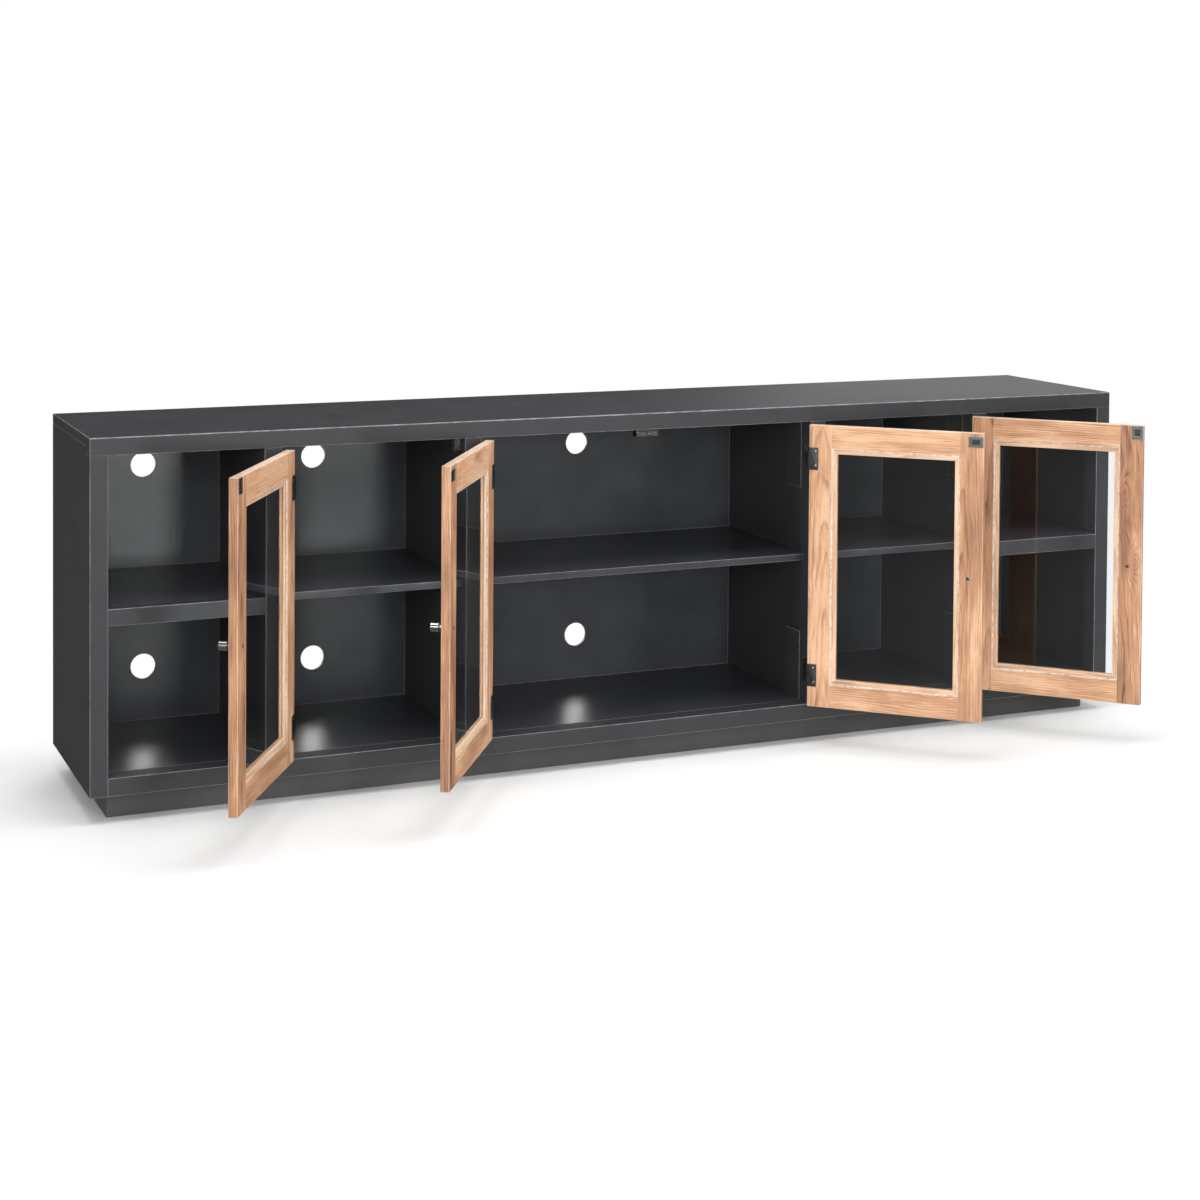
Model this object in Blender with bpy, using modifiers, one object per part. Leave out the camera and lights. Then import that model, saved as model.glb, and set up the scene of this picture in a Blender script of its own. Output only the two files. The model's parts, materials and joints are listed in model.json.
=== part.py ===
"""Media cabinet: a long black case of five bays on a recessed plinth, with four glazed walnut doors.

The two outer bays are open niches. The three bays between them hold thin shelves and are closed by
inset doors, which stand open here as the cabinet is shown. Metres, +Z up, front toward -Y. The origin
is on the floor, under the middle of the case.
"""

import math

import bmesh
import bpy
from mathutils import Matrix, Vector

# Case
WIDTH = 2.410
DEPTH = 0.430
HEIGHT = 0.762
PLINTH_H = 0.054
PLINTH_INSET_X = 0.040
PLINTH_INSET_FRONT = 0.0443
PLINTH_INSET_BACK = 0.005
PLINTH_T = 0.018
BRACE_W = 0.060
FRAME = 0.036  # face width of every stile, post and rail
POST_D = 0.044  # depth of every stile, post and rail
PANEL_T = 0.018  # sides and dividers
SLAB_T = 0.020  # top and bottom
BACK_T = 0.006
BACK_Y = 0.418  # the back panel's inner face, from the front plane
GAP = 0.0003  # between touching pieces
PAST = 0.01  # how far a cutter reaches past what it cuts
EASE = 0.0012  # eased edge of a board
TOP_EASE = 0.0025

# Bays: the posts' centre lines, mirrored about the middle
POST_X = (0.839, 0.411)
PAD_DEEP = 0.066  # fixing pads behind a hinge post
PAD_HIGH = 0.155

# Shelves
SHELF_TOP = 0.424
NICHE_SHELF_T = 0.018
NICHE_LIP_H = 0.034
NICHE_LIP_D = 0.020
DOOR_SHELF_T = 0.015
DOOR_SHELF_BACK = 0.029  # how far a shelf stands behind the front plane, clear of the doors

# Cable holes in the back, by bay from the left: distance from the middle, and height of the lower one
HOLE_R = 0.027
HOLE_UPPER_Z = 0.645
HOLES = ((-1.015, 0.207), (-0.637, 0.193), (0.0, 0.193), (0.637, 0.193), (1.015, 0.207))
HOLE_SIDES = 48

# Doors, in the closed door's own axes: across from the hinge axis, back from the axis, up
DOOR_T = 0.018
DOOR_BOTTOM = 0.0925
DOOR_TOP = 0.7225
HINGE_GAP = 0.0030  # between the door's edge and the post
FREE_GAP = 0.0020
AXIS_FORWARD = 0.006  # the pin stands this far in front of the door's face
DOOR_FRAME_W = 0.051  # stiles and rails, seen from inside
SIGHT_LIP_W = 0.012  # front lip that covers the glass edge
SIGHT_LIP_T = 0.006
GLASS_T = 0.004
GLASS_CLEAR = 0.001
OPEN_DEG = {"a": 121.0, "b": 123.0, "c": 136.0, "d": 134.0}

# Knobs: radii, and heights above the door's face
KNOB_FROM_EDGE = 0.031
KNOB_Z = 0.405
KNOB_R = 0.0097
KNOB_STEM_R = 0.0043
KNOB_FOOT_R = 0.0065
KNOB_RIM = 0.0010
KNOB_FOOT_T = 0.0015
KNOB_HEAD = 0.010
KNOB_REACH = 0.027
KNOB_SIDES = 24

# Hinges
LEAF_T = 0.0011
LEAF_H = 0.050
LEAF_W = 0.021
POST_LEAF_W = 0.029
LEAF_CLEAR = 0.00025  # half the gap between the closed leaves
LEAF_BITE = 0.001  # how far a leaf reaches into its knuckles
LEAF_ROOM = 0.0005  # between a knuckle and the other half's leaf
KNUCKLE_ROOM = 0.002
HINGE_Z = (0.1625, 0.6475)
KNUCKLE_R = 0.0036
PIN_R = 0.0017
BORE_R = 0.0019
KNUCKLE_SIDES = 16
KNUCKLE_PLAY = 0.0003  # between one knuckle and the next, along the pin

# Magnetic catches
CATCH_FRONT = 0.0205  # behind the front plane, just clear of a closed door's strike plate
CATCH_D = 0.020
CATCH_W = 0.014
CATCH_H = 0.030
DOUBLE_CATCH_W = 0.052
DOUBLE_CATCH_H = 0.018
EAR_W = 0.013
EAR_T = 0.002

FRONT = -DEPTH / 2
CASE_BOTTOM = PLINTH_H
RAIL_TOP_Z = HEIGHT - FRAME
FLOOR_Z = CASE_BOTTOM + FRAME
SLAB_UNDER = HEIGHT - SLAB_T


def clear_scene():
    for obj in list(bpy.data.objects):
        bpy.data.objects.remove(obj, do_unlink=True)


def new_collection(name, hidden=False):
    found = bpy.data.collections.new(name)
    bpy.context.scene.collection.children.link(found)
    found.hide_render = hidden
    return found


def new_material(name, colour, roughness, metallic=0.0, alpha=1.0):
    material = bpy.data.materials.new(name)
    material.use_nodes = True
    shader = material.node_tree.nodes["Principled BSDF"]
    shader.inputs["Base Color"].default_value = (*colour, 1.0)
    shader.inputs["Roughness"].default_value = roughness
    shader.inputs["Metallic"].default_value = metallic
    shader.inputs["Alpha"].default_value = alpha
    return material


def link_mesh(name, mesh_data, collection, parent=None):
    obj = bpy.data.objects.new(name, mesh_data)
    collection.objects.link(obj)
    obj.parent = parent
    return obj


def box_object(name, low, high, collection, parent=None):
    """A box between two corners, with its origin at its own centre."""
    low, high = Vector(low), Vector(high)
    bm = bmesh.new()
    bmesh.ops.create_cube(bm, size=1.0, matrix=Matrix.Diagonal((*(high - low), 1.0)))
    data = bpy.data.meshes.new(name)
    bm.to_mesh(data)
    bm.free()
    obj = link_mesh(name, data, collection, parent)
    obj.location = (low + high) / 2
    return obj


def cylinder_object(name, radius, start, end, sides, collection, parent=None):
    """A cylinder from one point to another, lying along Y or Z."""
    start, end = Vector(start), Vector(end)
    along = end - start
    turn = Vector((0, 0, 1)).rotation_difference(along).to_matrix().to_4x4()
    bm = bmesh.new()
    bmesh.ops.create_cone(bm, cap_ends=True, segments=sides, radius1=radius, radius2=radius,
                          depth=along.length, matrix=turn)
    data = bpy.data.meshes.new(name)
    bm.to_mesh(data)
    bm.free()
    obj = link_mesh(name, data, collection, parent)
    obj.location = (start + end) / 2
    return obj


def combine(target, other, operation):
    """Joins or cuts the target with a helper object, which is then kept out of renders."""
    other.hide_render = True
    other.display_type = "WIRE"
    modifier = target.modifiers.new(other.name, "BOOLEAN")
    modifier.operation = operation
    modifier.solver = "EXACT"
    modifier.object = other


def ease_edges(obj, width, segments=1):
    bevel = obj.modifiers.new("eased_edges", "BEVEL")
    bevel.width = width
    bevel.segments = segments
    bevel.limit_method = "ANGLE"


def board(name, material, low, high, cut=(), parent=None, ease=EASE, segments=1):
    """A board: one box with its edges eased, and then smaller boxes cut from it."""
    obj = box_object(name, low, high, CABINET, parent)
    obj.data.materials.append(material)
    if ease:
        ease_edges(obj, ease, segments)
    for number, corners in enumerate(cut):
        combine(obj, box_object(f"{name}_cut_{number}", *corners, HELPERS, parent), "DIFFERENCE")
    return obj


def mirrored(side, low, high):
    """The box's corners, or those of its mirror image when side is -1."""
    xs = sorted((side * low[0], side * high[0]))
    return (xs[0], low[1], low[2]), (xs[1], high[1], high[2])


def shifted(x, corners):
    """The same two corners, moved along X."""
    (low_x, *low), (high_x, *high) = corners
    return (low_x + x, *low), (high_x + x, *high)


def deep(distance):
    """The Y of a point this far behind the front plane."""
    return FRONT + distance


def make_plinth(lacquer):
    """A recessed ring with a brace across its middle, reaching up to the bottom panel."""
    top = FLOOR_Z - SLAB_T - GAP
    half = WIDTH / 2 - PLINTH_INSET_X
    front, back = deep(PLINTH_INSET_FRONT), DEPTH / 2 - PLINTH_INSET_BACK
    cell = ((BRACE_W / 2, front + PLINTH_T, -PAST), (half - PLINTH_T, back - PLINTH_T, top + PAST))
    cells = [mirrored(side, *cell) for side in (-1, 1)]
    board("plinth", lacquer, (-half, front, 0), (half, back, top), cut=cells)


def make_top(lacquer):
    """The top slab, with its built-up front edge."""
    half = WIDTH / 2
    under = ((-half - PAST, deep(POST_D), RAIL_TOP_Z - PAST),
             (half + PAST, DEPTH / 2 + PAST, SLAB_UNDER))
    board("top_panel", lacquer, (-half, FRONT, RAIL_TOP_Z), (half, DEPTH / 2, HEIGHT), cut=[under],
          ease=TOP_EASE, segments=2)


def make_bottom(lacquer):
    reach = WIDTH / 2 - PANEL_T - GAP
    board("bottom_panel", lacquer, (-reach, deep(POST_D) + GAP, FLOOR_Z - SLAB_T),
          (reach, DEPTH / 2, FLOOR_Z))
    inner = WIDTH / 2 - FRAME - GAP
    board("bottom_rail", lacquer, (-inner, FRONT, CASE_BOTTOM), (inner, deep(POST_D), FLOOR_Z))


def make_sides(lacquer):
    """Each side is an upright panel with its face-frame stile, let in under the top's front edge."""
    inner = WIDTH / 2 - FRAME
    low, high = (inner, FRONT, CASE_BOTTOM), (WIDTH / 2, DEPTH / 2, SLAB_UNDER - GAP)
    hollow = ((inner - PAST, deep(POST_D), CASE_BOTTOM - PAST),
              (WIDTH / 2 - PANEL_T, DEPTH / 2 + PAST, HEIGHT))
    shoulder = ((inner - PAST, FRONT - PAST, RAIL_TOP_Z - GAP),
                (WIDTH / 2 + PAST, deep(POST_D) + GAP, HEIGHT))
    for side, name in ((-1, "side_left"), (1, "side_right")):
        cut = [mirrored(side, *hollow), mirrored(side, *shoulder)]
        board(name, lacquer, *mirrored(side, low, high), cut=cut)


def make_dividers(lacquer):
    """Each divider is a front post, a panel behind it, and two fixing pads on its hinge side."""
    low = (-FRAME / 2, FRONT, FLOOR_Z + GAP)
    high = (FRAME / 2, deep(BACK_Y) - GAP, SLAB_UNDER - GAP)
    half, edge = PANEL_T / 2, FRAME / 2 + PAST
    behind_post, behind_pads = deep(POST_D), deep(POST_D) + PAD_DEEP
    back, under, over = high[1] + PAST, low[2] - PAST, high[2] + PAST
    post_top = RAIL_TOP_Z - GAP
    cuts = (
        ((-edge, behind_post, under), (-half, back, over)),
        ((half, behind_pads, under), (edge, back, over)),
        ((half, behind_post, low[2] + PAD_HIGH), (edge, behind_pads + PAST, post_top - PAD_HIGH)),
        ((half, behind_post, post_top), (edge, behind_pads + PAST, over)),
        ((-edge, FRONT - PAST, post_top), (edge, behind_post + GAP, over)),
    )
    posts = ((-POST_X[0], 1), (-POST_X[1], 1), (POST_X[1], -1), (POST_X[0], -1))
    for number, (x, hinge_side) in enumerate(posts, 1):
        cut = [shifted(x, mirrored(hinge_side, *corners)) for corners in cuts]
        board(f"divider_{number}", lacquer, *shifted(x, (low, high)), cut=cut)


def make_back(lacquer):
    """One sheet between the sides, with two cable holes to each bay."""
    reach = WIDTH / 2 - PANEL_T - GAP
    back = board("back_panel", lacquer, (-reach, deep(BACK_Y), FLOOR_Z + GAP),
                 (reach, deep(BACK_Y) + BACK_T, SLAB_UNDER - GAP), ease=0)
    for bay, (x, lower_z) in enumerate(HOLES, 1):
        for level, z in (("lower", lower_z), ("upper", HOLE_UPPER_Z)):
            drill = cylinder_object(f"hole_{bay}_{level}", HOLE_R, (x, deep(BACK_Y) - PAST, z),
                                    (x, deep(BACK_Y) + BACK_T + PAST, z), HOLE_SIDES, HELPERS)
            combine(back, drill, "DIFFERENCE")


def make_niche_shelves(lacquer):
    """The outer bays' shelves, each with a deep front lip flush with the face frame."""
    post_face = POST_X[0] + FRAME / 2 + GAP
    stile_face = WIDTH / 2 - FRAME - GAP
    low = (POST_X[0] + PANEL_T / 2 + GAP, FRONT, SHELF_TOP - NICHE_LIP_H)
    high = (WIDTH / 2 - PANEL_T - GAP, deep(BACK_Y) - GAP, SHELF_TOP)
    behind_frame = deep(POST_D) + GAP
    cuts = (
        ((low[0] - PAST, FRONT - PAST, low[2] - PAST), (post_face, behind_frame, SHELF_TOP + PAST)),
        ((stile_face, FRONT - PAST, low[2] - PAST), (high[0] + PAST, behind_frame, SHELF_TOP + PAST)),
        ((low[0] - PAST, deep(NICHE_LIP_D), low[2] - PAST),
         (high[0] + PAST, high[1] + PAST, SHELF_TOP - NICHE_SHELF_T)),
    )
    for side, name in ((-1, "shelf_1"), (1, "shelf_5")):
        cut = [mirrored(side, *corners) for corners in cuts]
        board(name, lacquer, *mirrored(side, low, high), cut=cut)


def make_door_shelves(lacquer):
    """The thin shelves behind the doors, notched round the posts."""
    outer, inner = POST_X
    spans = (("shelf_2", -outer, -inner), ("shelf_3", -inner, inner), ("shelf_4", inner, outer))
    for name, left, right in spans:
        low = (left + PANEL_T / 2 + GAP, deep(DOOR_SHELF_BACK), SHELF_TOP - DOOR_SHELF_T)
        high = (right - PANEL_T / 2 - GAP, deep(BACK_Y) - GAP, SHELF_TOP)
        notch_low, notch_high = (low[1] - PAST, low[2] - PAST), (deep(POST_D) + GAP, high[2] + PAST)
        notches = [
            ((low[0] - PAST, *notch_low), (left + FRAME / 2 + GAP, *notch_high)),
            ((right - FRAME / 2 - GAP, *notch_low), (high[0] + PAST, *notch_high)),
        ]
        board(name, lacquer, low, high, cut=notches)


def make_catches(steel):
    """A single catch beside each outer door's free edge, and a double one where the middle doors meet."""
    front, back, top = deep(CATCH_FRONT), deep(CATCH_FRONT) + CATCH_D, RAIL_TOP_Z - GAP
    face = POST_X[1] + FRAME / 2 + GAP
    single = ((face, front, top - CATCH_H), (face + CATCH_W, back, top))
    for side, name in ((-1, "catch_left"), (1, "catch_right")):
        board(name, steel, *mirrored(side, *single), ease=0)
    body, reach, foot = DOUBLE_CATCH_W / 2, DOUBLE_CATCH_W / 2 + EAR_W, top - DOUBLE_CATCH_H
    under_ear = ((body, front - PAST, foot - PAST), (reach + PAST, back + PAST, top - EAR_T))
    board("catch_double", steel, (-reach, front, foot), (reach, back, top),
          cut=[mirrored(side, *under_ear) for side in (-1, 1)], ease=0)


def make_case(lacquer, steel):
    make_plinth(lacquer)
    make_top(lacquer)
    make_bottom(lacquer)
    make_sides(lacquer)
    make_dividers(lacquer)
    make_back(lacquer)
    make_niche_shelves(lacquer)
    make_door_shelves(lacquer)
    make_catches(steel)


def make_door_frame(tag, side, width, walnut, axis):
    """Two stiles with two rails between them, all rebated behind a front lip for the glass."""
    near, far = HINGE_GAP / 2, HINGE_GAP / 2 + width
    face, back = AXIS_FORWARD, AXIS_FORWARD + DOOR_T
    lip_back = face + SIGHT_LIP_T
    sight = DOOR_FRAME_W + SIGHT_LIP_W
    foot, head = DOOR_BOTTOM - PAST, DOOR_TOP + PAST
    for name, low_u, high_u, rebate in (
        ("hinge", near, near + sight, (near + DOOR_FRAME_W, near + sight + PAST)),
        ("free", far - sight, far, (far - sight - PAST, far - DOOR_FRAME_W)),
    ):
        stile = mirrored(side, (low_u, face, DOOR_BOTTOM), (high_u, back, DOOR_TOP))
        cut = mirrored(side, (rebate[0], lip_back, foot), (rebate[1], back + PAST, head))
        board(f"door_{tag}_stile_{name}", walnut, *stile, cut=[cut], parent=axis)
    low_u, high_u = near + DOOR_FRAME_W + GAP, far - DOOR_FRAME_W - GAP
    lip_low, lip_high = near + sight + GAP, far - sight - GAP
    for name, low_z, high_z, rebate in (
        ("bottom", DOOR_BOTTOM, DOOR_BOTTOM + sight,
         (DOOR_BOTTOM + DOOR_FRAME_W, DOOR_BOTTOM + sight + PAST)),
        ("top", DOOR_TOP - sight, DOOR_TOP,
         (DOOR_TOP - sight - PAST, DOOR_TOP - DOOR_FRAME_W)),
    ):
        cuts = (
            ((low_u - PAST, lip_back, rebate[0]), (high_u + PAST, back + PAST, rebate[1])),
            ((low_u - PAST, face - PAST, low_z - PAST), (lip_low, lip_back + GAP, high_z + PAST)),
            ((lip_high, face - PAST, low_z - PAST), (high_u + PAST, lip_back + GAP, high_z + PAST)),
        )
        rail = mirrored(side, (low_u, face, low_z), (high_u, back, high_z))
        board(f"door_{tag}_rail_{name}", walnut, *rail,
              cut=[mirrored(side, *corners) for corners in cuts], parent=axis)


def make_glass(tag, side, width, glass, axis):
    inset = DOOR_FRAME_W + GLASS_CLEAR
    near = HINGE_GAP / 2
    face = AXIS_FORWARD + SIGHT_LIP_T + GAP
    low = (near + inset, face, DOOR_BOTTOM + inset)
    high = (near + width - inset, face + GLASS_T, DOOR_TOP - inset)
    board(f"door_{tag}_glass", glass, *mirrored(side, low, high), parent=axis, ease=0)


def make_knob(tag, side, width, nickel, axis):
    """A turned knob: a short stem and a cylindrical head with eased rims."""
    profile = (
        (0.0, KNOB_REACH), (KNOB_R - KNOB_RIM, KNOB_REACH), (KNOB_R, KNOB_REACH - KNOB_RIM),
        (KNOB_R, KNOB_HEAD + KNOB_RIM), (KNOB_R - KNOB_RIM, KNOB_HEAD), (KNOB_STEM_R, KNOB_HEAD),
        (KNOB_STEM_R, KNOB_FOOT_T), (KNOB_FOOT_R, KNOB_FOOT_T), (KNOB_FOOT_R, 0.0), (0.0, 0.0),
    )
    bm = bmesh.new()
    points = [bm.verts.new((r, 0.0, z)) for r, z in profile]
    for first, second in zip(points, points[1:]):
        bm.edges.new((first, second))
    data = bpy.data.meshes.new(f"door_{tag}_knob")
    bm.to_mesh(data)
    bm.free()
    data.materials.append(nickel)
    knob = link_mesh(f"door_{tag}_knob", data, CABINET, axis)
    screw = knob.modifiers.new("turned", "SCREW")
    screw.steps = screw.render_steps = KNOB_SIDES
    screw.use_merge_vertices = True
    screw.merge_threshold = 0.0001
    screw.use_smooth_shade = True
    knob.location = (side * (HINGE_GAP / 2 + width - KNOB_FROM_EDGE), AXIS_FORWARD - GAP, KNOB_Z)
    knob.rotation_euler = (math.radians(90), 0, 0)
    return knob


def make_hinge(tag, place, side, z, steel, axis, fixed):
    """A wrap-round inset hinge of two halves.

    The fixed half is a leaf on the post, two outer knuckles and the pin. The moving half is the middle
    knuckle and a leaf that lies along the door's edge and wraps onto its inner face.
    """
    low, high = z - LEAF_H / 2, z + LEAF_H / 2
    third = LEAF_H / 3
    name = f"hinge_{tag}_{place}"
    leaf_front = KNUCKLE_R - LEAF_BITE
    around, behind = KNUCKLE_R + KNUCKLE_ROOM, KNUCKLE_R + LEAF_ROOM

    post_leaf = mirrored(side, (-LEAF_CLEAR - LEAF_T, leaf_front, low),
                         (-LEAF_CLEAR, KNUCKLE_R + POST_LEAF_W, high))
    post_half = board(f"{name}_fixed", steel, *post_leaf, parent=fixed, ease=0)
    for end, start_z, stop_z in (("foot", low, low + third), ("head", high - third, high)):
        knuckle = cylinder_object(f"{name}_{end}", KNUCKLE_R, (0, 0, start_z), (0, 0, stop_z),
                                  KNUCKLE_SIDES, HELPERS, fixed)
        combine(post_half, knuckle, "UNION")
    pin = cylinder_object(f"{name}_pin", PIN_R, (0, 0, low + LEAF_BITE), (0, 0, high - LEAF_BITE),
                          KNUCKLE_SIDES, HELPERS, fixed)
    room = ((-around, -around, low + third), (around, behind, high - third))
    combine(post_half, box_object(f"{name}_room", *room, HELPERS, fixed), "DIFFERENCE")
    combine(post_half, pin, "UNION")

    back, leaf_edge = AXIS_FORWARD + DOOR_T + GAP, HINGE_GAP / 2 + LEAF_W
    leaf = mirrored(side, (LEAF_CLEAR, leaf_front, low), (leaf_edge, back + LEAF_T, high))
    inside = mirrored(side, (LEAF_CLEAR + LEAF_T, -PAST, low - PAST), (leaf_edge + PAST, back, high + PAST))
    door_half = board(f"{name}_door", steel, *leaf, cut=[inside], parent=axis, ease=0)
    for end, start_z, stop_z in (("foot", low - PAST, low + third), ("head", high - third, high + PAST)):
        notch = ((-around, -KNUCKLE_ROOM, start_z), (around, behind, stop_z))
        combine(door_half, box_object(f"{name}_notch_{end}", *notch, HELPERS, axis), "DIFFERENCE")
    knuckle = cylinder_object(f"{name}_middle", KNUCKLE_R, (0, 0, low + third + KNUCKLE_PLAY),
                              (0, 0, high - third - KNUCKLE_PLAY), KNUCKLE_SIDES, HELPERS, axis)
    bore = cylinder_object(f"{name}_bore", BORE_R, (0, 0, low - PAST), (0, 0, high + PAST),
                           KNUCKLE_SIDES, HELPERS, axis)
    combine(door_half, knuckle, "UNION")
    combine(door_half, bore, "DIFFERENCE")


def make_doors(walnut, glass, nickel, steel):
    """Four doors, each built closed about its own hinge axis and then turned to where it stands open."""
    outer, inner = POST_X
    side_bay = outer - inner - FRAME
    middle_bay = 2 * inner - FRAME
    side_width = side_bay - HINGE_GAP - FREE_GAP
    middle_width = (middle_bay - FREE_GAP) / 2 - HINGE_GAP
    for tag, post_x, side, width in (
        ("a", -outer, 1, side_width),
        ("b", -inner, 1, middle_width),
        ("c", inner, -1, middle_width),
        ("d", outer, -1, side_width),
    ):
        at = (post_x + side * (FRAME + HINGE_GAP) / 2, FRONT - AXIS_FORWARD, 0)
        fixed = link_mesh(f"hinge_line_{tag}", None, HELPERS)
        fixed.location = at
        axis = link_mesh(f"door_{tag}_axis", None, HELPERS)
        axis.location = at
        axis.rotation_euler = (0, 0, -side * math.radians(OPEN_DEG[tag]))
        make_door_frame(tag, side, width, walnut, axis)
        make_glass(tag, side, width, glass, axis)
        make_knob(tag, side, width, nickel, axis)
        for place, z in zip(("lower", "upper"), HINGE_Z):
            make_hinge(tag, place, side, z, steel, axis, fixed)


clear_scene()
CABINET = new_collection("media_cabinet")
HELPERS = new_collection("cutters", hidden=True)
LACQUER = new_material("black_lacquer", (0.030, 0.031, 0.034), 0.42)
WALNUT = new_material("walnut", (0.46, 0.25, 0.12), 0.45)
GLASS = new_material("clear_glass", (0.92, 0.96, 0.95), 0.02, alpha=0.25)
NICKEL = new_material("brushed_nickel", (0.62, 0.60, 0.57), 0.28, metallic=1.0)
STEEL = new_material("dark_steel", (0.16, 0.16, 0.17), 0.40, metallic=1.0)
make_case(LACQUER, STEEL)
make_doors(WALNUT, GLASS, NICKEL, STEEL)
bpy.context.view_layer.update()
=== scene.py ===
"""Looks of a long black media cabinet with four glazed walnut doors, standing open.

Every board is a profile carried along its length with eased edges, cut to the size of the frame's own
part. Each carries its own grain coordinates, so figure and end grain follow the board. Metres, +Z up,
front toward -Y.
"""
import json
import math

import bpy
import numpy as np
from mathutils import Matrix, Vector


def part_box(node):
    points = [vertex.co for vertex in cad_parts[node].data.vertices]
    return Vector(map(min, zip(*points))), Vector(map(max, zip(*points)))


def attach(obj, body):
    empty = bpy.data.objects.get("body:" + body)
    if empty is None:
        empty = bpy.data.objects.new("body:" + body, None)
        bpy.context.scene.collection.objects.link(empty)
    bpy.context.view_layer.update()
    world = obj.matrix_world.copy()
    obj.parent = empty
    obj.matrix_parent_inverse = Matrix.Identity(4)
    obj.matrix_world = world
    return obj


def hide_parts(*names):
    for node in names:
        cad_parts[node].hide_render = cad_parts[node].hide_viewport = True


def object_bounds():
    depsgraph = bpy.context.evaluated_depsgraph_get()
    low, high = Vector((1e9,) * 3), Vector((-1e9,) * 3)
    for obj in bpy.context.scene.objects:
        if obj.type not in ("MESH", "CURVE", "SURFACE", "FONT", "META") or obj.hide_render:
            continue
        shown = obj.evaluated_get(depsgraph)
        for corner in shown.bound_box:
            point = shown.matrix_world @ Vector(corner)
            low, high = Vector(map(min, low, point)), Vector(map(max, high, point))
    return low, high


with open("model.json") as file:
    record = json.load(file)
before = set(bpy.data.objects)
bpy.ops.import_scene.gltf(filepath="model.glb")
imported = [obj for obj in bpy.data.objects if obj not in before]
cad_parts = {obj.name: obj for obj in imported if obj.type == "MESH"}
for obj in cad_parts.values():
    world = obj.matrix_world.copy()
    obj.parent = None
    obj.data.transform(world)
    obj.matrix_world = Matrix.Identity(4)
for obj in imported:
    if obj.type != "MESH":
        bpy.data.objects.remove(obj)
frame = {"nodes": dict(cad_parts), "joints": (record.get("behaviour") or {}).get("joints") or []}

CAD_LOW, CAD_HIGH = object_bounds()

# Sizes that the frame's boxes don't hold
GAP = 0.0003  # air between touching parts of the frame
ARC_STEPS = 3  # faces round an eased edge
SHARP_DEG = 40.0
SQUARE = (0.0, 0.0)  # two ends without an eased edge
EASE = 0.0014
TOP_EASE = 0.0026
TOP_CORNER = TOP_EASE * 1.05
JOINT_EASE = 0.0005
WOOD_EASE = 0.0011
WOOD_END_EASE = WOOD_EASE * 0.95
NICHES = (1, 5)  # the bays that have no door
NICHE_SHELF_T = 0.018
NICHE_LIP_DEEP = 0.020
TONGUE = 0.009  # how far a shelf reaches sideways behind a post
SIDE_TONGUE = 0.018  # and behind a side's stile
PAD_HIGH = 0.155  # the fixing pads behind the hinges
PAD_DEEP = 0.066
JOINT_LINE = 0.0011  # the width of a fine line of lacquer in a joint
CATCH_EASE, CATCH_FRONT_EASE = 0.0009, 0.0008
MAGNET_PROUD = 0.0012  # how far a magnet stands out of its housing
MAGNET_DEEP = 0.004
MAGNET_EASE, MAGNET_FRONT_EASE = 0.0006, 0.0004
EAR_W = 0.013  # of the double catch
EAR_T = 0.002
EAR_SETBACK = 0.002  # behind the housing's front, and in front of its back
EAR_CORNER = 0.0015
BEAD_SETBACK = 0.003
BEAD_EASE = 0.0014
BEAD_CLEAR = 0.0008  # between a bead and the door's frame
SEALANT_R = 0.0013
LEAF_NEAR, LEAF_FAR = 0.00025, 0.00135  # a shut leaf's two faces, from the plane between the leaves
LEAF_CORNER = 0.0016
LEAF_EASE = 0.0002
LEAF_BITE = 0.001  # how far the post's leaf reaches into its knuckles
LEAF_ROOT = 0.5  # where the door's leaf starts in its knuckle, as a share of the radius
LEAF_ROOM = 0.0005  # between a leaf and the other half's knuckle
SCREW_SPREAD = 0.016  # hinge screws above and below the hinge's middle
SCREW_R = 0.0033
SCREW_RISE = 0.0007
POST_SCREW_RISE = 0.0002  # nearly flush, so that the leaves close over them
POST_SCREW_BACK = 0.0265  # behind the pin
LEAF_SCREW_IN = 0.0135  # from the door's hinge edge
PLATE_EASE = 0.0003
PLATE_RISE = 0.0013  # a strike plate's rim above the wood, and then its middle
PLATE_MIDDLE_RISE = 0.0005
RANDOM = np.random.default_rng(11)
# How dark each door's boards are, from 0 to 1: hinge stile, free stile, bottom rail, top rail
BOARD_TONES = {"a": (0.6, 0.95, 0.5, 0.15), "b": (0.7, 1.0, 0.45, 0.2),
               "c": (0.4, 0.55, 0.35, 0.1), "d": (0.8, 0.9, 0.3, 0.3)}
REFLECTED_WORLD = 0.11  # how bright the white background is in a reflection
REFLECTED_FLOOR = 0.17

X, Y, Z = np.eye(3)


# ----------------------------------------
# Shapes. A shell is (points, faces, grain, edge mask, tone): grain is each point's place in its own board,
# across, through and along, the edge mask is 1 on an eased edge, for its wear and its painted highlight, and
# tone is how dark the board is.

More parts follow.
